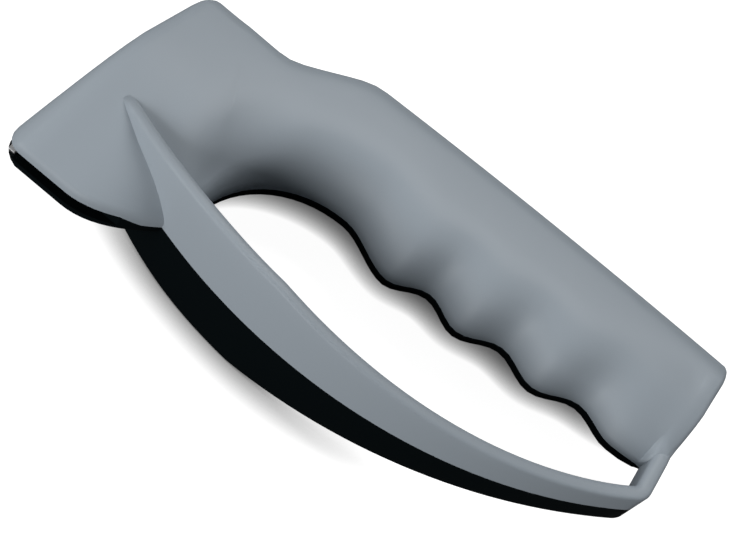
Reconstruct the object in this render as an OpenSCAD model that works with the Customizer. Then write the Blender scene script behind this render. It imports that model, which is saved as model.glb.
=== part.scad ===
// Hand-held knife sharpener with a D-shaped grip.
// Two moulded half shells meet on a flat joint at mid thickness. The head holds two crossed
// carbide plates that show as a V in the mouth slot, and a wide bowed guard covers the fingers.
// The sharpener lies on its side: X runs along the grip towards the tail, Y towards the back
// of the hand, Z through the thickness. Z = 0 is the surface that the guard's edge rests on.

/* [Whole sharpener] */
// Length from the front corner of the head to the tail
overall_length = 144; // [138:0.5:150]
// Depth from the mouth lip to the back of the grip at the tail
overall_depth = 70.4; // [66:0.2:76]
// Thickness of the head and the grip across both shells
body_thickness = 28; // [26:0.5:31]
// Wall of the hollow shells
wall = 2.5; // [2:0.1:3]

/* [Head] */
// Depth of the head from the mouth lip to its back edge
head_depth = 56; // [52:0.2:60]
// How far the front face leans back over the depth of the head
front_lean = 7.4; // [4:0.2:10]
// Share of the head's back edge that the mouth side is drawn across to, from the front
head_fan_share = 0.25; // [0.2:0.01:0.5]
// Radius of the corner between the front face and the mouth
mouth_corner_r = 4; // [2:0.1:5]
// Radius of the corner between the front face and the back edge
apex_corner_r = 3.2; // [2.5:0.1:6]
// Rounding of the front face's upper and lower edges
front_edge_r = 2.1; // [1:0.1:4]
// Rounding of the edges along the back of the head
head_edge_r = 5.5; // [4:0.5:8]
// Thickness of both mouth lips together with the slot
lips_thickness = 7; // [6:0.2:9]
// Rounding along the mouth lips
lip_edge_r = 1; // [0.6:0.1:1.4]
// Length of the straight mouth from the front corner
mouth_length = 15.7; // [12:0.1:18]
// Length over which the lips draw back into the guard
mouth_runout = 18.5; // [16:0.5:21]
// Distance that the lips draw back
mouth_rise = 10.2; // [9:0.1:11]
// Angle at which the lips run into the guard
roll_angle = 48; // [40:1:56]
// Depth of the slope from the mouth lip to the full thickness
head_flank = 32; // [28:0.5:36]

/* [Grip] */
// Rounding of the edges along the back
back_edge_r = 7; // [4:0.5:8]
// Depth of the rounding on the finger side
grip_flank = 17.5; // [14:0.5:19]
// Depth of the rounding on the finger side at the tail
tail_flank = 22; // [18:0.5:24]
// Height of the land where the shells meet on the finger side, across both
finger_land = 1.6; // [0.8:0.1:2.4]
// How much shallower the grip is at the shoulder than at the tail
back_taper = 2.2; // [0:0.1:4]
// How far the back of the grip bows outwards
back_bow = 0.85; // [0:0.05:1.5]
// How much shorter the back is than the finger side at the tail
tail_lean = 0.4; // [0:0.1:2]
// Length of the slope from the head's back up to the grip's back
shoulder_length = 22.5; // [18:0.5:28]
// Length from the end of that slope to the top of the index arch
shoulder_lead = 11.5; // [8:0.5:14]
// Share of the finger room that the front half of the index finger's arch takes
index_arch_share = 0.236; // [0.2:0.001:0.26]
// Depth from the root of the lips to the front end of that arch
arch_rise = 7.2; // [6:0.1:9]
// Drop from the top of the index arch to the first ridge
index_drop = 5.2; // [3:0.1:7]
// Share of the finger room from the top of the index arch to the first ridge
index_run_share = 0.144; // [0.12:0.001:0.17]
// Share of the finger room for the middle finger's groove
middle_groove_share = 0.1846; // [0.16:0.001:0.2]
// Share of the finger room for the ring finger's groove
ring_groove_share = 0.2008; // [0.18:0.001:0.22]
// Share of the finger room for the little finger's groove
little_groove_share = 0.211; // [0.18:0.001:0.22]
// Depth of the three finger grooves
groove_depth = 3.9; // [2:0.1:5]
// Length from the last ridge to the tail face
heel_length = 11.2; // [9:0.2:14]
// How far the heel rises from the last ridge to the tail face
heel_rise = 2.2; // [1:0.1:3]
// Depth of the grip between its back and the last ridge
ridge_depth = 30.5; // [28:0.1:34]
// Rounding of the edges round the tail face
tail_edge_r = 1.2; // [0.8:0.1:2.5]

/* [Guard] */
// How far the guard's lowest point stands back from the mouth lip
guard_setback = 3.9; // [3:0.1:6]
// How far the guard's lowest point lies from mid length, towards the head
guard_belly_shift = 3.4; // [0:0.1:8]
// Length from the front of the head to the fin where the guard begins
fin_start = 11.2; // [9:0.1:14]
// Length over which the guard widens from the fin to the belly
guard_swell = 36.5; // [32:0.5:40]
// Length of the belly, where the guard is widest
guard_belly = 12; // [8:0.5:16]
// Width of the guard where it is widest, across both shells
guard_width = 31; // [29:0.5:34]
// Width of the guard where its fin leaves the head
fin_width = 22.8; // [18:0.2:25]
// Width of the neck that joins the guard to the tail
neck_width = 11.2; // [9:0.2:14]
// Thickness of the guard's wall
guard_wall = 3.5; // [3:0.1:4.5]
// How far the outer face bulges in the middle
guard_crown = 0.5; // [0.2:0.1:1]
// Rounding along the guard's outer edges
guard_edge_r = 0.8; // [0.4:0.1:1.2]
// Rounding along the guard's inner edges, where the fingers touch it
guard_inner_r = 1.4; // [0.8:0.1:1.6]
// Thickness of the neck in the lower shell, which stands back behind the upper one
lower_neck_wall = 1.7; // [1.5:0.1:3]
// Length of the straight neck between that corner and the heel of the grip
neck_length = 8.6; // [6:0.1:12]
// Radius of the corner where the guard turns up into the neck
neck_corner_r = 5; // [4:0.5:7]
// Radius of the fillet between the neck and the heel of the grip
neck_fillet_r = 1.2; // [0.8:0.1:3]

/* [Cutters] */
// Height of the slot between the lips
slot_height = 3; // [2.4:0.1:3.4]
// Depth of the bottom of the V behind the mouth lip
edge_depth = 3.1; // [2.6:0.1:3.6]
// How far the slot is deeper than the V
slot_relief = 0.7; // [0.4:0.1:1]
// Wall between the front face and the front plate
front_wall = 1.2; // [1:0.1:2]
// Angle of each carbide plate to the joint between the shells
cutter_angle = 20; // [16:0.5:24]
// Thickness of a carbide plate
cutter_t = 1.5; // [1.2:0.1:2]
// Width of a carbide plate
cutter_w = 2.2; // [2:0.1:2.4]
// Length of a carbide plate in front of the bottom of the V
cutter_front = 2.3; // [2:0.1:2.6]
// Length of a carbide plate behind the bottom of the V
cutter_rear = 7; // [6:0.1:8]
// Diameter of the pin through both plates
pin_d = 1.2; // [1:0.1:1.4]
// Length of the pin
pin_length = 6.5; // [5:0.1:7]
// Size of the cutter holder along the grip, along the depth and through the thickness
holder_size = [7, 17, 6.8]; // [5:0.1:20]

/* [Fasteners] */
// Thread diameter of the case screws
case_screw_d = 3; // [2.6:0.1:3.5]
// Head diameter of the case screws
case_head_d = 5.6; // [5:0.1:6]
// Length of the case screws under the head
case_screw_length = 15; // [13:0.5:17]
// Depth of the screw heads below the outside of the lower shell
case_head_depth = 4; // [3:0.5:5]
// Outer diameter of the bosses for the case screws
boss_d = 8; // [7:0.1:9]
// Thread diameter of the screws in the cutter holder
holder_screw_d = 2; // [1.6:0.1:2.3]
// Length of the screws in the cutter holder
holder_screw_length = 9.8; // [8:0.1:10]
// Distance between the two screws in the cutter holder
holder_screw_pitch = 6; // [5:0.1:7]
// Distance of the bosses from the back of the head and the grip
boss_inset = 12.5; // [10:0.5:15]
// Distance of the head's boss from the front
head_boss_x = 21; // [16:0.5:26]
// Thickness of the ribs inside the shells
rib_t = 1.6; // [1.2:0.1:2]
// Gap between mating pieces
fit_gap = 0.1; // [0.05:0.01:0.15]

/* [Hidden] */
$fn = 48;
cut = 1; // overrun of every cut past the face that it opens

corner_land_share = 0.5; // the lips thin out towards the front corner
heel_land_share = 0.8; // the heel is nearly as thick as the neck that it runs into
ridge_slope_share = 0.08; // each ridge stands back from the one nearer the head
head_fullness = 1.35; // how fully the sections bulge: 1 is a straight slope
arch_fullness = 2.5;
ridge_fullness = 1.8;
tail_fullness = 1.3;

half_t = body_thickness / 2;
joint_z = guard_width / 2; // the shells meet at this height
front_x = -overall_length / 2;
tail_x = overall_length / 2;
mouth_y = -overall_depth / 2;
tail_back_y = overall_depth / 2;
head_back_y = mouth_y + head_depth;

function lerp(a, b, t) = a + (b - a) * t;
function clamp01(t) = max(0, min(1, t));
function ease(t) = let (c = clamp01(t)) c * c * (3 - 2 * c);
function square(t) = t * t;
function bezier(a, b, c, d, t) =
    lerp(lerp(lerp(a, b, t), lerp(b, c, t), t), lerp(lerp(b, c, t), lerp(c, d, t), t), t);

// The mouth, from the front corner to the root where the lips meet the guard
mouth_start_x = front_x + mouth_corner_r;
mouth_end_x = front_x + mouth_length;
mouth_root = [mouth_end_x + mouth_runout, mouth_y + mouth_rise];

// The finger side of the grip, seen from the side. The ridges are set out from the tail.
last_ridge_x = tail_x - heel_length;
last_ridge_y = tail_back_y - ridge_depth;
heel_y = last_ridge_y + heel_rise;
finger_room = last_ridge_x - mouth_root[0];
groove_widths = finger_room * [middle_groove_share, ring_groove_share, little_groove_share];
first_ridge_x = last_ridge_x - groove_widths * [1, 1, 1];
function ridge_x(i) = i == 0 ? first_ridge_x : ridge_x(i - 1) + groove_widths[i - 1];
function ridge_y(x) = last_ridge_y - ridge_slope_share * (last_ridge_x - x);

index_run = finger_room * index_run_share;
arch_x = first_ridge_x - index_run;
arch_top_y = ridge_y(first_ridge_x) + index_drop;
arch_front = [arch_x - finger_room * index_arch_share, mouth_root[1] + arch_rise];

lip_pull = [mouth_end_x + mouth_runout / 3, mouth_y];
roll_heading = [cos(roll_angle), sin(roll_angle)];
root_pull = mouth_root - mouth_runout * 0.38 * roll_heading;
turn_pull = mouth_root + arch_rise / 3 * roll_heading;
arch_pull = arch_front - [0, arch_rise / 3];

neck_x = tail_x - guard_wall;
fillet_x = neck_x - neck_fillet_r;
runout_steps = 12;
turn_steps = 4;
groove_steps = 10;
finger_side = concat(
    [for (t = [0.3, 0.65]) [lerp(mouth_start_x, mouth_end_x, t), mouth_y]],
    [for (i = [0:runout_steps])
        bezier([mouth_end_x, mouth_y], lip_pull, root_pull, mouth_root, i / runout_steps)],
    [for (i = [1:turn_steps - 1])
        bezier(mouth_root, turn_pull, arch_pull, arch_front, i / turn_steps)],
    [for (a = [0:6:90])
        [lerp(arch_x, arch_front[0], cos(a)), lerp(arch_front[1], arch_top_y, sin(a))]],
    [for (i = [1:8]) [arch_x + i / 8 * index_run, arch_top_y - index_drop * ease(i / 8)]],
    [for (k = [0:2], i = [1:groove_steps])
        let (t = i / groove_steps, x = ridge_x(k) + t * groove_widths[k])
        [x, ridge_y(x) + groove_depth * square(sin(180 * t))]],
    [for (x = [lerp(last_ridge_x, fillet_x, 0.5), fillet_x, lerp(fillet_x, neck_x, 0.5), neck_x,
               tail_x - tail_edge_r])
        [x, last_ridge_y + heel_rise * square((x - last_ridge_x) / heel_length)]]
);

// The back of the head and the grip, with the sloping shoulder between them
shoulder_end_x = arch_x - shoulder_lead;
function shoulder(x) = ease((x - shoulder_end_x) / shoulder_length + 1);
function back_y(x) =
    let (t = clamp01((x - shoulder_end_x) / (tail_x - shoulder_end_x)))
    lerp(head_back_y, tail_back_y - back_taper * (1 - t) + back_bow * 4 * t * (1 - t), shoulder(x));
function back_edge(x) = lerp(head_edge_r, back_edge_r, shoulder(x));

// Each station is a chord across the body: [finger side point, back point, share of the height].
// The chords fan out round the index arch, so that they cross its rounding more squarely.
apex_x = front_x + front_lean * (head_depth - apex_corner_r) / head_depth;
apex_end_x = apex_x + apex_corner_r;
fan_x = lerp(apex_end_x, arch_front[0], head_fan_share);
function remap(x, a, b, to_a, to_b) = lerp(to_a, to_b, (x - a) / (b - a));
function arch_turn(x) = acos(clamp01((arch_x - x) / (arch_x - arch_front[0]))) / 90;
function back_x(x) =
    x < arch_front[0] ? remap(x, mouth_start_x, arch_front[0], apex_end_x, fan_x)
    : x < arch_x ? lerp(fan_x, arch_x, arch_turn(x))
    : x - tail_lean * clamp01((x - last_ridge_x) / heel_length);
function station(p) = [p, [back_x(p[0]), back_y(back_x(p[0]))], 1];

corner_steps = 5;
front_stations = [for (i = [0:corner_steps]) let (a = 90 * i / corner_steps) [
    [mouth_start_x - mouth_corner_r * cos(a), mouth_y + mouth_corner_r * (1 - sin(a))],
    [apex_x + apex_corner_r * (1 - cos(a)), head_back_y - apex_corner_r * (1 - sin(a))],
    1 - front_edge_r / half_t * (1 - sin(a))
]];
tail_steps = 4;
tail_stations = [for (i = [1:tail_steps]) let (
    a = 90 * i / tail_steps,
    inset = tail_edge_r * (1 - cos(a)),
    x = tail_x - tail_edge_r * (1 - sin(a))
) [
    [x, heel_y + inset],
    [x - tail_lean, tail_back_y - inset],
    1 - inset / half_t
]];
body_stations = concat(front_stations, [for (p = finger_side) station(p)], tail_stations);

// The section across the body at a point of the finger side: [flank depth, land, fullness].
// It is a wedge at the head, a full round at the arch and a wedge again at the tail. The heel
// width is the land beside the neck, across both shells.
section_start_x = lerp(mouth_end_x, mouth_root[0], 0.2);
section_end_x = lerp(arch_front[0], arch_x, 0.3);
function section(p, heel_width) =
    let (
        grip = ease((p[0] - section_start_x) / (section_end_x - section_start_x)),
        ridges = ease((p[0] - arch_x) / index_run),
        tail = ease((p[0] - ridge_x(2)) / (tail_x - ridge_x(2))),
        heel = ease((p[0] - fillet_x) / neck_fillet_r),
        corner = clamp01((p[0] - front_x) / mouth_corner_r),
        groove = p[0] > first_ridge_x ? max(0, p[1] - ridge_y(p[0])) : 0
    )
    [
        lerp(lerp(head_flank, grip_flank, grip), tail_flank, tail) - groove,
        lerp(lerp(lips_thickness * lerp(corner_land_share, 1, corner), finger_land, grip),
             heel_width, heel) / 2,
        lerp(lerp(lerp(head_fullness, arch_fullness, grip), ridge_fullness, ridges),
             tail_fullness, tail)
    ];
function land_edge(s) = min(lip_edge_r, s[1] / 2);

// Height of one shell's surface at a depth behind the finger side
function surface_z(s, depth) =
    let (
        r = land_edge(s),
        edge_drop = depth < r ? r - sqrt(square(r) - square(r - depth)) : 0
    )
    s[1] + (half_t - s[1]) * (1 - pow(1 - clamp01(depth / s[0]), s[2])) - edge_drop;

// The head rolls over towards the index arch as well. Share of that roll's depth at a point
arch_span = [arch_x - arch_front[0], arch_top_y - arch_front[1]];
blend_power = 5; // how tightly the two roundings blend: a high power leaves an edge
function arch_share(q) =
    let (
        beside = [arch_x - q[0], max(0, q[1] - arch_front[1])],
        out = norm([beside[0] / arch_span[0], beside[1] / arch_span[1]])
    )
    max(fit_gap, norm(beside) * (1 - 1 / out)) / grip_flank;

// Height of one shell's surface at a depth along a chord, with both roundings
function rolled_z(st, dir, s, depth) =
    let (
        share = max(fit_gap, depth) / s[0],
        other = arch_share(st[0] + dir * depth),
        both = pow(pow(share, -blend_power) + pow(other, -blend_power), -1 / blend_power),
        weight = (1 - ease((st[0][0] - arch_front[0]) / arch_span[0])) * ease(share * 3)
    )
    surface_z(s, depth > land_edge(s) ? lerp(share, both, weight) * s[0] : depth);

// A closed row of points round one half of a section, from the finger side over to the back
flank_shares = [0.08, 0.16, 0.25, 0.35, 0.46, 0.58, 0.71, 0.85, 1];
top_shares = [0.3, 0.65];
function body_ring(st, heel_width) =
    let (
        span = norm(st[1] - st[0]),
        dir = (st[1] - st[0]) / span,
        s = section(st[0], heel_width),
        r = back_edge(st[1][0]),
        flank = min(s[0], span - r - lip_edge_r),
        at = function (depth, z) [each (st[0] + dir * depth), z * st[2]]
    )
    concat(
        [at(0, 0)],
        [for (a = [0:22.5:90])
            let (d = land_edge(s) * (1 - cos(a)))
            at(d, surface_z(s, d))],
        [for (t = flank_shares) at(t * flank, rolled_z(st, dir, s, t * flank))],
        [for (t = top_shares)
            let (d = lerp(flank, span - r, t))
            at(d, rolled_z(st, dir, s, d))],
        [for (a = [0:15:90]) at(span - r * (1 - sin(a)), half_t - r * (1 - cos(a)))],
        [at(span, 0)]
    );

// The same for a hollow: one wall thickness inside, and past the joint that it opens to
hollow_shares = [0, 0.2, 0.4, 0.6, 0.8, 1];
function hollow_ring(st, least_depth, heel_width) =
    let (
        span = norm(st[1] - st[0]),
        dir = (st[1] - st[0]) / span,
        s = section(st[0], heel_width),
        r = back_edge(st[1][0]) - wall,
        free = 1 - clamp01((wall + rib_t - s[1]) / (half_t - s[1])),
        start = max(least_depth, s[0] * (1 - pow(free, 1 / s[2])) + wall / 2),
        end = max(start + wall, min(s[0], span - r - wall - lip_edge_r)),
        at = function (depth, z) [each (st[0] + dir * depth), z]
    )
    concat(
        [at(start, -cut)],
        [for (t = hollow_shares)
            let (d = lerp(start, end, t))
            at(d, rolled_z(st, dir, s, d - wall / 2) - wall)],
        [for (a = [30:30:90])
            at(span - wall - r * (1 - sin(a)), half_t - wall - r * (1 - cos(a)))],
        [at(span - wall, -cut)]
    );

// A closed solid through a list of rings that all have the same number of points. Each four
// neighbouring points are joined along their shorter diagonal, which keeps the surface even.
function patch(points, a, b, c, d) =
    norm(points[a] - points[c]) < norm(points[b] - points[d])
        ? [[a, b, c], [a, c, d]]
        : [[a, b, d], [b, c, d]];
module skin(rings) {
    n = len(rings[0]);
    last = len(rings) - 1;
    points = [for (ring = rings) each ring];
    polyhedron(
        points = points,
        faces = concat(
            [[for (j = [n - 1:-1:0]) j]],
            [[for (j = [0:n - 1]) last * n + j]],
            [for (i = [0:last - 1], j = [0:n - 1]) let (k = (j + 1) % n)
                each patch(points, i * n + j, i * n + k, (i + 1) * n + k, (i + 1) * n + j)]
        )
    );
}

// The guard's path: fin, bowed belly, corner at the tail and neck, as [point, normal angle]
corner_x = tail_x - neck_corner_r;
corner_y = heel_y - neck_length;
guard_low_y = mouth_y + guard_setback;
guard_rise = corner_y - guard_low_y;
guard_radius = (square(corner_x + guard_belly_shift) + square(guard_rise) - square(neck_corner_r))
    / (2 * (guard_rise - neck_corner_r));
guard_centre = [-guard_belly_shift, guard_low_y + guard_radius];
corner_angle = atan2(corner_x - guard_centre[0], guard_centre[1] - corner_y);
fin_x = front_x + fin_start;
fin_angle = asin((fin_x - guard_centre[0]) / guard_radius);
neck_end = [tail_x - tail_lean / 2, heel_y + tail_flank / 4];

guard_steps = 44;
function heading(a) = [sin(a), -cos(a)];
guard_path = concat(
    [for (i = [0:guard_steps]) let (a = lerp(fin_angle, corner_angle, i / guard_steps))
        [guard_centre + guard_radius * heading(a), a]],
    [for (i = [1:6]) let (a = lerp(corner_angle, 90, i / 6))
        [[corner_x, corner_y] + neck_corner_r * heading(a), a]],
    [[[tail_x, heel_y], 90], [neck_end, 90]]
);

// Half the guard's width: it swells from the fin, then tapers from the belly to the neck
belly_start_x = fin_x + guard_swell;
belly_end_x = belly_start_x + guard_belly;
function guard_half(x) =
    let (
        rise = clamp01((x - fin_x) / guard_swell),
        fall = clamp01((x - belly_end_x) / (corner_x - belly_end_x))
    )
    x < belly_end_x
        ? lerp(fin_width, guard_width, rise * (2 - rise)) / 2
        : lerp(neck_width, guard_width, pow(1 - fall, 1.3)) / 2;

// Half a section of the guard's wall, from the joint over the rounded edge
function guard_ring(p, a, neck_wall) =
    let (
        h = guard_half(p[0]),
        wall_t = lerp(guard_wall, neck_wall, clamp01((a - corner_angle) / (90 - corner_angle))),
        crown = guard_crown * (1 - clamp01((p[0] - belly_end_x) / (corner_x - belly_end_x))),
        r = guard_edge_r,
        inner_r = min(guard_inner_r, wall_t - crown - r),
        at = function (inset, z) [p[0] - inset * sin(a), p[1] + inset * cos(a), z]
    )
    concat(
        [at(wall_t, 0), at(0, 0)],
        [for (t = [0.4, 0.7]) at(crown * square(t), h * t)],
        [for (b = [0:30:90]) at(crown + r * (1 - cos(b)), h - r * (1 - sin(b)))],
        [for (b = [90:-22.5:0]) at(wall_t - inner_r * (1 - cos(b)), h - inner_r * (1 - sin(b)))]
    );

// One half of the outside, above the joint
module half_outside(neck_wall, heel_width) {
    skin([for (st = body_stations) body_ring(st, heel_width)]);
    skin([for (g = guard_path) guard_ring(g[0], g[1], neck_wall)]);
}

// Where things sit in the head. The plates stand one behind the other, then comes the holder.
edge_y = mouth_y + edge_depth;
slot_floor_y = edge_y + slot_relief;
front_cutter_x = front_x + front_wall;
rear_cutter_x = front_cutter_x + cutter_t + fit_gap;
holder_x = rear_cutter_x + cutter_t + fit_gap;
holder_y = slot_floor_y + fit_gap;
holder_end_x = holder_x + holder_size[0];
holder_middle_x = holder_x + holder_size[0] / 2;
holder_top = holder_size[2] / 2;
pin_y = edge_y + cutter_w / 2 / sin(cutter_angle);
holder_head_d = holder_screw_d * 1.9;
holder_head_t = holder_screw_d * 0.7;
holder_screw_y = holder_y + holder_size[1] / 2 + holder_screw_pitch * 0.1;

// Screw bosses, and the hollows between the ribs as [start, end, least depth]
boss_row_y = tail_back_y - boss_inset;
boss_points = [
    [front_x + head_boss_x, head_back_y - boss_inset],
    [arch_x, boss_row_y],
    [lerp(ridge_x(1), ridge_x(2), 0.4), boss_row_y],
    [last_ridge_x, boss_row_y]
];
case_seat_z = case_head_depth - half_t;
case_head_t = case_screw_d * 0.7;
hollow_steps = 8;
hollows = [
    [front_x + wall * 2.4, holder_end_x, edge_depth + holder_size[1] + wall * 1.4],
    [holder_end_x + rib_t, mouth_root[0] - wall, edge_depth + slot_relief + wall],
    [arch_front[0] + wall * 1.6, boss_points[1][0] - rib_t / 2, wall],
    [boss_points[1][0] + rib_t / 2, boss_points[2][0] - rib_t / 2, wall],
    [boss_points[2][0] + rib_t / 2, tail_x - wall * 2.2, wall]
];

// The slot between the lips, through which the knife is drawn
module slot() {
    translate([front_x - cut, mouth_y - cut, -slot_height / 2])
        cube([mouth_length + mouth_runout + cut, slot_floor_y - mouth_y + cut, slot_height]);
}

// A plate's outline grown by a gap, leaning with its mouth end below the joint
module plate(x, gap) {
    translate([x - gap, edge_y, 0])
        rotate([cutter_angle, 0, 0])
            translate([0, -cutter_front - gap, -cutter_w - gap])
                cube([cutter_t + 2 * gap, cutter_front + cutter_rear + 2 * gap, cutter_w + 2 * gap]);
}

module both_plates(gap) {
    plate(front_cutter_x, gap);
    mirror([0, 0, 1])
        plate(rear_cutter_x, gap);
}

module pin(gap) {
    translate([front_cutter_x, pin_y, 0])
        rotate([0, 90, 0])
            cylinder(d = pin_d + 2 * gap, h = pin_length + gap);
}

module holder_block(gap) {
    translate([holder_x - gap, holder_y - gap, -holder_top - gap])
        cube([for (size = holder_size) size + 2 * gap]);
}

module at_holder_screws() {
    for (side = [-1, 1])
        translate([holder_middle_x, holder_screw_y + side * holder_screw_pitch / 2, holder_top])
            children();
}

// A screw standing on its head's seat, with the shank pointing down
module screw(d, length, head_d, head_t) {
    translate([0, 0, -length])
        cylinder(d = d, h = length + head_t * 0.2);
    difference() {
        cylinder(d = head_d, h = head_t);
        for (turn = [0, 90])
            rotate([0, 0, turn])
                translate([-head_d * 0.3, -head_d * 0.07, head_t * 0.3])
                    cube([head_d * 0.6, head_d * 0.14, head_t]);
    }
}

// The clearance round a screw, open above its head
module screw_hole(d, length, head_d, head_depth) {
    translate([0, 0, -length - fit_gap])
        cylinder(d = d + 2 * fit_gap, h = length + head_depth);
    cylinder(d = head_d + 2 * fit_gap, h = head_depth);
}

// Turns a screw round so that it enters from the outside of the lower shell
module at_case_screws() {
    for (p = boss_points)
        translate([p[0], p[1], case_seat_z])
            rotate([180, 0, 0])
                children();
}

// One half shell above the joint, hollow between its ribs and bosses
module half_shell(neck_wall, heel_width) {
    difference() {
        half_outside(neck_wall, heel_width);
        difference() {
            for (h = hollows)
                skin([for (t = [0:1 / hollow_steps:1])
                    let (x = lerp(h[0], h[1], t))
                    hollow_ring(station([x, lookup(x, finger_side)]), h[2], heel_width)]);
            for (p = boss_points)
                translate([p[0], p[1], -cut])
                    cylinder(d = boss_d, h = half_t + cut);
        }
        slot();
        holder_block(fit_gap);
    }
}

module upper_shell() {
    color("#97a1a8")
        translate([0, 0, joint_z])
            difference() {
                half_shell(guard_wall, neck_width * heel_land_share);
                both_plates(fit_gap);
                at_holder_screws()
                    screw_hole(holder_screw_d, 0, holder_head_d, holder_head_t + fit_gap);
                at_case_screws()
                    screw_hole(case_screw_d, case_screw_length, case_head_d, half_t);
            }
}

module lower_shell() {
    color("#101315")
        translate([0, 0, joint_z])
            difference() {
                mirror([0, 0, 1])
                    half_shell(lower_neck_wall, finger_land);
                both_plates(fit_gap);
                at_holder_screws()
                    screw_hole(holder_screw_d, holder_screw_length, holder_head_d, holder_head_t);
                at_case_screws()
                    screw_hole(case_screw_d, case_screw_length, case_head_d, half_t);
            }
}

module cutter_holder() {
    color("#5c6268")
        translate([0, 0, joint_z])
            difference() {
                holder_block(0);
                pin(fit_gap);
                at_holder_screws()
                    screw_hole(holder_screw_d, holder_size[2], holder_head_d, cut);
            }
}

module front_cutter() {
    color("#c4c8cc")
        translate([0, 0, joint_z])
            difference() {
                plate(front_cutter_x, 0);
                pin(fit_gap);
            }
}

module rear_cutter() {
    color("#b8bcc0")
        translate([0, 0, joint_z])
            difference() {
                mirror([0, 0, 1])
                    plate(rear_cutter_x, 0);
                pin(fit_gap);
            }
}

module cutter_pin() {
    color("#8f959a")
        translate([0, 0, joint_z])
            pin(0);
}

module holder_screws() {
    color("#a8adb2")
        translate([0, 0, joint_z])
            at_holder_screws()
                screw(holder_screw_d, holder_screw_length, holder_head_d, holder_head_t);
}

module case_screws() {
    color("#a8adb2")
        translate([0, 0, joint_z])
            at_case_screws()
                screw(case_screw_d, case_screw_length, case_head_d, case_head_t);
}

upper_shell();
lower_shell();
cutter_holder();
front_cutter();
rear_cutter();
cutter_pin();
holder_screws();
case_screws();
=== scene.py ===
"""Hand-held knife sharpener: two moulded half shells round a pair of crossed carbide plates."""
import math

import bmesh
import bpy
from mathutils import Matrix, Vector


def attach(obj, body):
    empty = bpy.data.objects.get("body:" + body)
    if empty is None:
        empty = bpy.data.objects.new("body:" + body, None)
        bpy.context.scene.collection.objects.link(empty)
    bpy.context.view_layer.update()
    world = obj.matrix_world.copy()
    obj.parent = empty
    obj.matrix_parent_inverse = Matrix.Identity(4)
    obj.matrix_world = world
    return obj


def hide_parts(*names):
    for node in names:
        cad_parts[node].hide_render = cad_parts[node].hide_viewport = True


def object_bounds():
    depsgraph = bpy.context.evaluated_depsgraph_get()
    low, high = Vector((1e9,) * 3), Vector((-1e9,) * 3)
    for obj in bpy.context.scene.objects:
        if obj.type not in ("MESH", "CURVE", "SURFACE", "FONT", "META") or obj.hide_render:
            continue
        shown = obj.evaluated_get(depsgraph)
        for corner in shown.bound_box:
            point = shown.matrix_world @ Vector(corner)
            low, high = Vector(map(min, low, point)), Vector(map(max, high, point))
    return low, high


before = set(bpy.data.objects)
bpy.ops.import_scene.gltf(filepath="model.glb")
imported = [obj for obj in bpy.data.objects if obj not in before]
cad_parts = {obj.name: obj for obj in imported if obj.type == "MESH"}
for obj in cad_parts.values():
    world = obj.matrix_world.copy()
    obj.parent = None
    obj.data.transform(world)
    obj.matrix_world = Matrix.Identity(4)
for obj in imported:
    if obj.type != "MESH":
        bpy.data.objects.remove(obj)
cad_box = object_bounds()
bpy.ops.object.select_all(action="DESELECT")

# Lower shell
# The black half of the body and guard, moulded in glass-filled plastic with a satin finish.
# It carries the cutters, and the grey half closes it from above.
JOIN_DISTANCE = 5e-6


def pick(pieces):
    """Selects these objects and no others, with the first one active."""
    bpy.ops.object.select_all(action="DESELECT")
    for piece in pieces:
        piece.select_set(True)
    bpy.context.view_layer.objects.active = pieces[0]


def joined_copy(node, name):
    """A copy of a CAD solid with its loose triangles joined. It takes the solid's place."""
    piece = bpy.data.objects.new(name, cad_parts[node].data.copy())
    bpy.context.scene.collection.objects.link(piece)
    pick([piece])
    bpy.ops.object.mode_set(mode="EDIT")
    bpy.ops.mesh.select_all(action="SELECT")
    bpy.ops.mesh.remove_doubles(threshold=JOIN_DISTANCE)
    bpy.ops.object.mode_set(mode="OBJECT")
    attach(piece, "root")
    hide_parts(node)
    return piece


def ramp(value, none, full):
    """0 up to one value and 1 from the other on, with a soft rise between them."""
    share = min(1, max(0, (value - none) / (full - none)))
    return share * share * (3 - 2 * share)


JOINT_Z = 0.0155
NECK_SIDE_Y = 0.0082
NECK_FILLET = 0.002
HEEL_NONE_X = 0.0673
HEEL_FULL_X = 0.0684
HEEL_BACK_Y = 0.0242
HEEL_SLOPE = 0.177
HEEL_WALL = 0.003


def draw_in_heel(piece):
    """Lets the grip's roll run on to the tail's end, except where the neck joins it.

    The solid has a raised strip there. It is drawn in by more the further it is from the back,
    and its wall at the joint stays.
    """
    for vertex in piece.data.vertices:
        place = vertex.co
        height = place.z - JOINT_Z
        share = min(1, max(0, (place.x - HEEL_NONE_X) / (HEEL_FULL_X - HEEL_NONE_X)))
        share *= ramp(place.y, NECK_SIDE_Y, NECK_SIDE_Y + NECK_FILLET)
        share *= ramp(abs(height), 0, HEEL_WALL)
        drop = max(0, HEEL_SLOPE * (HEEL_BACK_Y - place.y))
        place.z -= math.copysign(share * drop, height)


SLOT_END_X = -0.0455
SLOT_RISE = 0.0015
SLOT_TAPER = 0.0037
LIP_INNER_Y = -0.0275


def taper_slot_end(piece):
    """Draws the mouth slot's inner end out to a point, with the black shell's edge in it."""
    for vertex in piece.data.vertices:
        place = vertex.co
        along = (place.x - SLOT_END_X) / SLOT_TAPER
        if 0 <= along < 1 and place.y < LIP_INNER_Y:
            share = max(0, 1 - abs(place.z - JOINT_Z) / SLOT_RISE)
            place.z += SLOT_RISE * (1 - along) * share


HALF_THICKNESS = 0.014
JOINT_LIFT = 0.0007
JOINT_LIFT_POWER = 4
LAND_END = 0.0004
FLANK_START = 0.003
GUARD_LINE_START = Vector((-0.036, -0.021))
GUARD_LINE_SLOPE = 0.213
HEAD_NONE_X = -0.045
HEAD_FULL_X = -0.03
NECK_NONE_X = 0.0665
NECK_FULL_X = 0.0685
BACK_NONE_Y = 0.027
BACK_FULL_Y = 0.017


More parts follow.
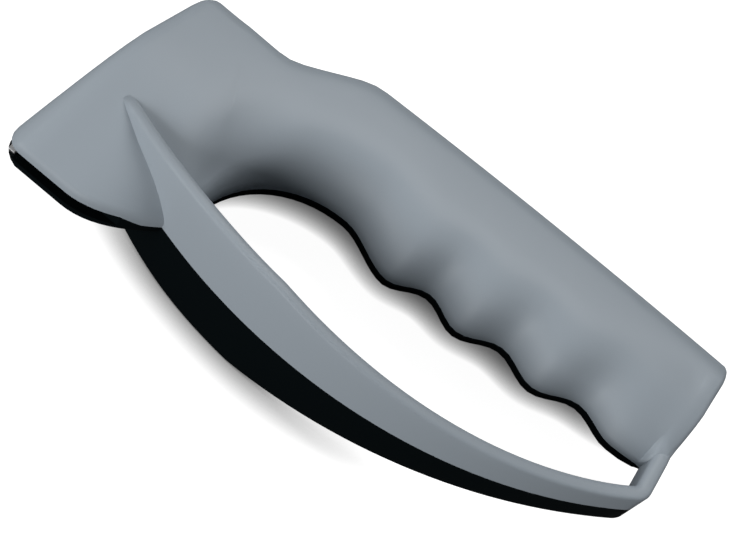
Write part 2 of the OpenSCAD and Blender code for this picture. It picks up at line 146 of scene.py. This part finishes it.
def shape_finger_side(piece, fullness, land_drop):
    """Sets how full the finger side's roll is and raises its joint a little.

    The land is the narrow wall just below the joint. Land drop draws it further down, so that
    it shows as an even band. The guard, the neck and the back keep their shape.
    """
    for vertex in piece.data.vertices:
        place = vertex.co
        guard_y = GUARD_LINE_START.y + GUARD_LINE_SLOPE * (place.x - GUARD_LINE_START.x)
        if place.y < guard_y:
            continue
        in_neck = ramp(place.y, NECK_SIDE_Y + NECK_FILLET, NECK_SIDE_Y)
        in_neck *= ramp(place.x, NECK_NONE_X, NECK_FULL_X)
        weight = ramp(place.x, HEAD_NONE_X, HEAD_FULL_X) * (1 - in_neck)
        weight *= ramp(place.y, BACK_NONE_Y, BACK_FULL_Y)
        height = (place.z - JOINT_Z) / HALF_THICKNESS
        below_joint = max(0, JOINT_Z - place.z)
        near_joint = max(0, 1 - abs(height))
        roll = HALF_THICKNESS * fullness * height * near_joint
        lift = JOINT_LIFT * near_joint ** JOINT_LIFT_POWER
        on_land = ramp(below_joint, 0, LAND_END) * ramp(below_joint, FLANK_START, LAND_END)
        place.z += weight * (roll + lift)
        place.z -= weight * land_drop * on_land


EDGE_DEG = 24
CORNER_DEG = 9
FIN_END_X = -0.0365
NECK_START_X = 0.066


def smooth_skin(piece):
    """Smooth shading that stops at real edges.

    Inward corners are shallower where the guard grows out of the head and the tail, so there
    they are kept sharp from a smaller angle on.
    """
    pick([piece])
    bpy.ops.object.shade_smooth_by_angle(angle=math.radians(EDGE_DEG))
    shape = bmesh.new()
    shape.from_mesh(piece.data)
    for edge in shape.edges:
        middle_x = (edge.verts[0].co.x + edge.verts[1].co.x) / 2
        beside_guard = middle_x < FIN_END_X or middle_x > NECK_START_X
        if beside_guard and edge.calc_face_angle_signed(0) < -math.radians(CORNER_DEG):
            edge.smooth = False
    shape.to_mesh(piece.data)
    shape.free()


GRAIN_SCALE = 2600
GRAIN_DETAIL = 3
GRAIN_STRENGTH = 0.25


def moulded_plastic(name, colour, roughness, specular, grain_height):
    """A satin plastic with the fine sparked grain of its mould."""
    material = bpy.data.materials.new(name)
    material.use_nodes = True
    nodes = material.node_tree.nodes
    links = material.node_tree.links
    shader = nodes["Principled BSDF"]
    shader.inputs["Base Color"].default_value = (*colour, 1)
    shader.inputs["Roughness"].default_value = roughness
    shader.inputs["Specular IOR Level"].default_value = specular
    place = nodes.new("ShaderNodeTexCoord")
    grain = nodes.new("ShaderNodeTexNoise")
    grain.inputs["Scale"].default_value = GRAIN_SCALE
    grain.inputs["Detail"].default_value = GRAIN_DETAIL
    bump = nodes.new("ShaderNodeBump")
    bump.inputs["Strength"].default_value = GRAIN_STRENGTH
    bump.inputs["Distance"].default_value = grain_height
    links.new(place.outputs["Object"], grain.inputs["Vector"])
    links.new(grain.outputs["Fac"], bump.inputs["Height"])
    links.new(bump.outputs["Normal"], shader.inputs["Normal"])
    return material


def coat(piece, material):
    """Gives the whole piece one material."""
    piece.data.materials.clear()
    piece.data.materials.append(material)


SHELL_GRAIN = 3e-5
black_plastic = moulded_plastic("black_plastic", colour=(0.002, 0.0035, 0.0042),
                                roughness=0.45, specular=0.04, grain_height=SHELL_GRAIN)
lower_shell = joined_copy("lower_shell", "lower_shell_skin")
draw_in_heel(lower_shell)
taper_slot_end(lower_shell)
shape_finger_side(lower_shell, fullness=-0.3, land_drop=0.0016)
smooth_skin(lower_shell)
coat(lower_shell, black_plastic)

# Upper shell
# The grey half of the body and guard, moulded as the black half is. Its satin face is the side
# that the maker shows, and screws from the black side pull it down.
grey_plastic = moulded_plastic("grey_plastic", colour=(0.298, 0.338, 0.376),
                               roughness=0.46, specular=0.25, grain_height=SHELL_GRAIN)
upper_shell = joined_copy("upper_shell", "upper_shell_skin")
draw_in_heel(upper_shell)
taper_slot_end(upper_shell)
shape_finger_side(upper_shell, fullness=0.8, land_drop=0)
smooth_skin(upper_shell)
coat(upper_shell, grey_plastic)

# Front cutter
# A ground tungsten carbide plate. Its end shows in the mouth slot, where it scrapes one side of
# a blade's edge. It stands in a slot of the cutter holder, and the pin keeps it there.
LAY_DETAIL = 2
LAY_STRENGTH = 0.3
LAY_DEPTH = 1e-5


def ground_metal(name, colour, roughness, lay):
    """A metal with fine lines in the directions whose scale is low, or else an even grain."""
    material = bpy.data.materials.new(name)
    material.use_nodes = True
    nodes = material.node_tree.nodes
    links = material.node_tree.links
    shader = nodes["Principled BSDF"]
    shader.inputs["Base Color"].default_value = (*colour, 1)
    shader.inputs["Metallic"].default_value = 1
    shader.inputs["Roughness"].default_value = roughness
    place = nodes.new("ShaderNodeTexCoord")
    along = nodes.new("ShaderNodeMapping")
    along.inputs["Scale"].default_value = lay
    lines = nodes.new("ShaderNodeTexNoise")
    lines.inputs["Scale"].default_value = 1
    lines.inputs["Detail"].default_value = LAY_DETAIL
    bump = nodes.new("ShaderNodeBump")
    bump.inputs["Strength"].default_value = LAY_STRENGTH
    bump.inputs["Distance"].default_value = LAY_DEPTH
    links.new(place.outputs["Object"], along.inputs["Vector"])
    links.new(along.outputs["Vector"], lines.inputs["Vector"])
    links.new(lines.outputs["Fac"], bump.inputs["Height"])
    links.new(bump.outputs["Normal"], shader.inputs["Normal"])
    return material


FLAT_DEG = 1
EDGE_STEPS = 2


def finish_solid(node, name, material, edge_width):
    """Makes a plain solid's flat faces whole and rounds its real edges a little."""
    piece = joined_copy(node, name)
    pick([piece])
    bpy.ops.object.mode_set(mode="EDIT")
    bpy.ops.mesh.select_all(action="SELECT")
    bpy.ops.mesh.dissolve_limited(angle_limit=math.radians(FLAT_DEG))
    bpy.ops.object.mode_set(mode="OBJECT")
    rounding = piece.modifiers.new("rounding", "BEVEL")
    rounding.width = edge_width
    rounding.segments = EDGE_STEPS
    rounding.limit_method = "ANGLE"
    rounding.angle_limit = math.radians(EDGE_DEG)
    bpy.ops.object.modifier_apply(modifier="rounding")
    bpy.ops.object.shade_smooth_by_angle(angle=math.radians(EDGE_DEG))
    coat(piece, material)


CARBIDE_EDGE = 0.0001
GRINDING_LAY = (60000, 800, 60000)
carbide = ground_metal("carbide", colour=(0.8, 0.81, 0.82), roughness=0.5, lay=GRINDING_LAY)
finish_solid("front_cutter", "front_cutter_plate", carbide, CARBIDE_EDGE)

# Rear cutter
# The second carbide plate. It leans the other way behind the first one, so that the two make a
# V and both sides of the edge are sharpened in one stroke.
finish_solid("rear_cutter", "rear_cutter_plate", carbide, CARBIDE_EDGE)

# Cutter pin
# A turned steel pin, pushed through both plates and the holder. It keeps the plates from moving
# and sets the height of the V.
STEEL = (0.5, 0.5, 0.49)
TURNING_LAY = (60000, 900, 900)
PIN_EDGE = 0.00008
pin_steel = ground_metal("pin_steel", STEEL, roughness=0.25, lay=TURNING_LAY)
finish_solid("cutter_pin", "cutter_pin_steel", pin_steel, PIN_EDGE)

# Cutter holder
# A block moulded in dark plastic. It backs both plates, takes the pin, and is held to the lower
# shell by two screws.
HOLDER_EDGE = 0.0002
holder_plastic = moulded_plastic("holder_plastic", colour=(0.06, 0.065, 0.07),
                                 roughness=0.5, specular=0.3, grain_height=2e-5)
finish_solid("cutter_holder", "cutter_holder_block", holder_plastic,
             HOLDER_EDGE)

# Holder screws
# Two pan-head thread-forming screws in zinc-plated steel. They go down through the holder into
# the lower shell.


def screw_boxes(node):
    """The lowest and highest corner of each separate screw in a node, sorted along the grip."""
    shape = bmesh.new()
    shape.from_mesh(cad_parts[node].data)
    bmesh.ops.remove_doubles(shape, verts=shape.verts, dist=JOIN_DISTANCE)
    left = set(shape.verts)
    boxes = []
    while left:
        reached = [left.pop()]
        places = []
        while reached:
            vertex = reached.pop()
            places.append(vertex.co.copy())
            for edge in vertex.link_edges:
                other = edge.other_vert(vertex)
                if other in left:
                    left.remove(other)
                    reached.append(other)
        low = Vector([min(place[axis] for place in places) for axis in range(3)])
        high = Vector([max(place[axis] for place in places) for axis in range(3)])
        boxes.append((low, high))
    shape.free()
    return sorted(boxes, key=lambda box: tuple(box[0]))


PAN_SIDES = 48
PAN_ROUND_SHARE = 0.35
PAN_ROUND_STEPS = 4
RECESS_LENGTH_SHARE = 0.6
RECESS_WIDTH_SHARE = 0.14
RECESS_DEPTH_SHARE = 0.6


def cross_head(diameter, height):
    """A pan head that stands on z = 0, with a cross recess in its top."""
    bpy.ops.mesh.primitive_cylinder_add(vertices=PAN_SIDES, radius=diameter / 2, depth=height,
                                        location=(0, 0, height / 2))
    head = bpy.context.object
    pan = head.modifiers.new("pan", "BEVEL")
    pan.width = height * PAN_ROUND_SHARE
    pan.segments = PAN_ROUND_STEPS
    pan.limit_method = "ANGLE"
    bpy.ops.object.modifier_apply(modifier="pan")
    for turn_deg in (0, 90):
        bpy.ops.mesh.primitive_cube_add(size=1, location=(0, 0, height),
                                        rotation=(0, 0, math.radians(turn_deg)))
        slot = bpy.context.object
        slot.scale = (diameter * RECESS_LENGTH_SHARE, diameter * RECESS_WIDTH_SHARE,
                      2 * height * RECESS_DEPTH_SHARE)
        bpy.ops.object.transform_apply(location=True, rotation=True, scale=True)
        cut = head.modifiers.new("recess", "BOOLEAN")
        cut.operation = "DIFFERENCE"
        cut.solver = "EXACT"
        cut.object = slot
        bpy.context.view_layer.objects.active = head
        bpy.ops.object.modifier_apply(modifier="recess")
        bpy.data.objects.remove(slot)
    return head


SHANK_SIDES = 32
ROOT_SHARE = 0.72
FOOT_SHARE = 0.98
POINT_SHARE = 0.4
TIP_SHARE = 0.9
PITCH_SHARE = 0.45
FLANK_SHARE = 0.3
CREST_SHARE = 0.1


def threaded_shank(diameter, length):
    """A core below z = 0, a blunt tip and one thread, whose foot lies just inside the core."""
    crest = diameter / 2
    root = crest * ROOT_SHARE
    foot = root * FOOT_SHARE
    pitch = diameter * PITCH_SHARE
    tip = diameter * TIP_SHARE
    bpy.ops.mesh.primitive_cylinder_add(vertices=SHANK_SIDES, radius=root, depth=length - tip,
                                        location=(0, 0, (tip - length) / 2))
    core = bpy.context.object
    bpy.ops.mesh.primitive_cone_add(vertices=SHANK_SIDES, radius1=root * POINT_SHARE,
                                    radius2=root, depth=tip, location=(0, 0, tip / 2 - length))
    point = bpy.context.object
    corners = [(foot, 0, 0),
               (crest, 0, pitch * FLANK_SHARE),
               (crest, 0, pitch * (FLANK_SHARE + CREST_SHARE)),
               (foot, 0, pitch * (2 * FLANK_SHARE + CREST_SHARE))]
    profile = bpy.data.meshes.new("thread")
    profile.from_pydata(corners, [(0, 1), (1, 2), (2, 3)], [])
    thread = bpy.data.objects.new("thread", profile)
    bpy.context.scene.collection.objects.link(thread)
    thread.location.z = tip - length
    pick([thread])
    winding = thread.modifiers.new("winding", "SCREW")
    winding.axis = "Z"
    winding.screw_offset = pitch
    winding.iterations = int((length - tip) / pitch) - 1
    winding.steps = SHANK_SIDES
    bpy.ops.object.modifier_apply(modifier="winding")
    bpy.ops.object.mode_set(mode="EDIT")
    bpy.ops.mesh.select_all(action="SELECT")
    bpy.ops.mesh.normals_make_consistent(inside=False)
    bpy.ops.object.mode_set(mode="OBJECT")
    return [core, point, thread]


def screw_set(node, name, material, head_height, thread_diameter, head_down):
    """All screws of a node as one piece, each built at the origin and set in its place."""
    screws = []
    for low, high in screw_boxes(node):
        head = cross_head(high.x - low.x, head_height)
        shank = threaded_shank(thread_diameter, high.z - low.z - head_height)
        pick([head, *shank])
        bpy.ops.object.join()
        bpy.ops.object.transform_apply(location=True, rotation=True, scale=True)
        screw = bpy.context.object
        screw.rotation_euler.x = math.pi if head_down else 0
        seat_z = low.z + head_height if head_down else high.z - head_height
        screw.location = ((low.x + high.x) / 2, (low.y + high.y) / 2, seat_z)
        bpy.ops.object.transform_apply(location=True, rotation=True, scale=True)
        screws.append(screw)
    pick(screws)
    bpy.ops.object.join()
    piece = bpy.context.object
    piece.name = name
    bpy.ops.object.shade_smooth_by_angle(angle=math.radians(EDGE_DEG))
    coat(piece, material)
    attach(piece, "root")
    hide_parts(node)


PLATING_LAY = (9000, 9000, 9000)
screw_steel = ground_metal("screw_steel", STEEL, roughness=0.3, lay=PLATING_LAY)
screw_set("holder_screws", "holder_screws_steel", screw_steel, head_height=0.0014,
          thread_diameter=0.002, head_down=False)

# Case screws
# Four longer screws of the same kind. They enter deep recesses in the lower shell from outside
# and pull the upper shell's bosses down.
screw_set("case_screws", "case_screws_steel", screw_steel, head_height=0.0021,
          thread_diameter=0.003, head_down=True)

# Floor
# A plain white table that the sharpener lies on. What the camera sees of it is white, with a
# painted shade close to the sharpener, taken from ambient occlusion and not from any lamp, and
# the real shadows of the lamps. It throws little light back.
TABLE_SIZE = 4
TABLE_GREY = (0.35, 0.35, 0.35, 1)
TABLE_GLOW = 0.97
BOUNCE_GREY = (0.1, 0.1, 0.1, 1)
# How far the painted shade round the sharpener reaches, how steeply it deepens, and how finely
# it is sampled.
PAINTED_SHADE_REACH = 0.006
PAINTED_SHADE_POWER = 1.8
PAINTED_SHADE_SAMPLES = 16
bpy.ops.mesh.primitive_plane_add(size=TABLE_SIZE, location=(0, 0, cad_box[0].z))
table = bpy.context.object
table.name = "table"
white_table = bpy.data.materials.new("white_table")
white_table.use_nodes = True
nodes = white_table.node_tree.nodes
links = white_table.node_tree.links
nodes.remove(nodes["Principled BSDF"])
matt = nodes.new("ShaderNodeBsdfDiffuse")
matt.inputs["Color"].default_value = TABLE_GREY
# Painted shade: the white glow that the camera sees is darkened where the sharpener is near, by
# ambient occlusion, not by light.
painted_near_shade = nodes.new("ShaderNodeAmbientOcclusion")
painted_near_shade.inputs["Distance"].default_value = PAINTED_SHADE_REACH
painted_near_shade.samples = PAINTED_SHADE_SAMPLES
deepened_painted_shade = nodes.new("ShaderNodeGamma")
deepened_painted_shade.inputs["Gamma"].default_value = PAINTED_SHADE_POWER
glow_with_painted_shade = nodes.new("ShaderNodeEmission")
glow_with_painted_shade.inputs["Strength"].default_value = TABLE_GLOW
seen_table = nodes.new("ShaderNodeAddShader")
links.new(painted_near_shade.outputs["Color"], deepened_painted_shade.inputs["Color"])
links.new(deepened_painted_shade.outputs["Color"], glow_with_painted_shade.inputs["Color"])
links.new(matt.outputs[0], seen_table.inputs[0])
links.new(glow_with_painted_shade.outputs[0], seen_table.inputs[1])
bounce = nodes.new("ShaderNodeBsdfDiffuse")
bounce.inputs["Color"].default_value = BOUNCE_GREY
paths = nodes.new("ShaderNodeLightPath")
seen_or_not = nodes.new("ShaderNodeMixShader")
links.new(paths.outputs["Is Camera Ray"], seen_or_not.inputs["Fac"])
links.new(bounce.outputs[0], seen_or_not.inputs[1])
links.new(seen_table.outputs[0], seen_or_not.inputs[2])
links.new(seen_or_not.outputs[0], nodes["Material Output"].inputs["Surface"])
coat(table, white_table)

# Studio light
# A dim room, which the camera sees as pale, and four soft boxes: the main one high behind the
# sharpener, two low ones on the guard's side and a weak one on the left.
ROOM_LIGHT = 0.01
SEEN_ROOM_LIGHT = 1
BOX_DISTANCE = 1
LOOK_AT = Vector((-0.0005, -0.0008, 0.0155))
world = bpy.data.worlds.new("studio")
bpy.context.scene.world = world
world.use_nodes = True
nodes = world.node_tree.nodes
links = world.node_tree.links
room = nodes["Background"]
room.inputs["Color"].default_value = (1, 1, 1, 1)
room.inputs["Strength"].default_value = ROOM_LIGHT
seen_room = nodes.new("ShaderNodeBackground")
seen_room.inputs["Strength"].default_value = SEEN_ROOM_LIGHT
paths = nodes.new("ShaderNodeLightPath")
any_seen = nodes.new("ShaderNodeMath")
any_seen.operation = "MAXIMUM"
links.new(paths.outputs["Is Camera Ray"], any_seen.inputs[0])
links.new(paths.outputs["Is Transmission Ray"], any_seen.inputs[1])
either = nodes.new("ShaderNodeMixShader")
links.new(any_seen.outputs[0], either.inputs["Fac"])
links.new(room.outputs[0], either.inputs[1])
links.new(seen_room.outputs[0], either.inputs[2])
links.new(either.outputs[0], nodes["World Output"].inputs["Surface"])


def soft_box(name, azimuth_deg, elevation_deg, size, power):
    """A square area lamp that faces the sharpener from a direction round it."""
    azimuth = math.radians(azimuth_deg)
    elevation = math.radians(elevation_deg)
    place = BOX_DISTANCE * Vector((math.cos(azimuth) * math.cos(elevation),
                                   math.sin(azimuth) * math.cos(elevation),
                                   math.sin(elevation)))
    lamp = bpy.data.lights.new(name, "AREA")
    lamp.shape = "SQUARE"
    lamp.size = size
    lamp.energy = power
    box = bpy.data.objects.new(name, lamp)
    bpy.context.scene.collection.objects.link(box)
    box.location = place
    box.rotation_euler = (LOOK_AT - place).to_track_quat("-Z", "Y").to_euler()


soft_box("back_box", azimuth_deg=90, elevation_deg=60, size=0.6, power=6.9)
soft_box("front_left_box", azimuth_deg=-135, elevation_deg=14, size=0.4, power=4.1)
soft_box("front_box", azimuth_deg=-90, elevation_deg=14, size=0.4, power=4.9)
soft_box("left_box", azimuth_deg=180, elevation_deg=45, size=0.6, power=1.2)

# Camera
# It looks down on the guard's side at the photo's angle, from the photo's distance, and is
# rolled as the photo is.
ELEVATION = math.radians(51)
ROLL = math.radians(40)
DISTANCE = 0.296
SENSOR_MM = 36
FOCAL_PX = 1420
PICTURE_WIDTH_PX = 747
NEAR_LIMIT = 0.01
away = Vector((0, -math.cos(ELEVATION), math.sin(ELEVATION)))
level_up = Vector((0, math.sin(ELEVATION), math.cos(ELEVATION)))
side = Vector((1, 0, 0))
right = side * math.cos(ROLL) + level_up * math.sin(ROLL)
up = level_up * math.cos(ROLL) - side * math.sin(ROLL)
camera_data = bpy.data.cameras.new("camera")
camera_data.sensor_width = SENSOR_MM
camera_data.lens = SENSOR_MM * FOCAL_PX / PICTURE_WIDTH_PX
camera_data.clip_start = NEAR_LIMIT
camera = bpy.data.objects.new("camera", camera_data)
bpy.context.scene.collection.objects.link(camera)
turn = Matrix((right, up, away)).transposed()
camera.matrix_world = Matrix.Translation(LOOK_AT + away * DISTANCE) @ turn.to_4x4()
bpy.context.scene.camera = camera
bpy.context.scene.view_settings.view_transform = "Standard"
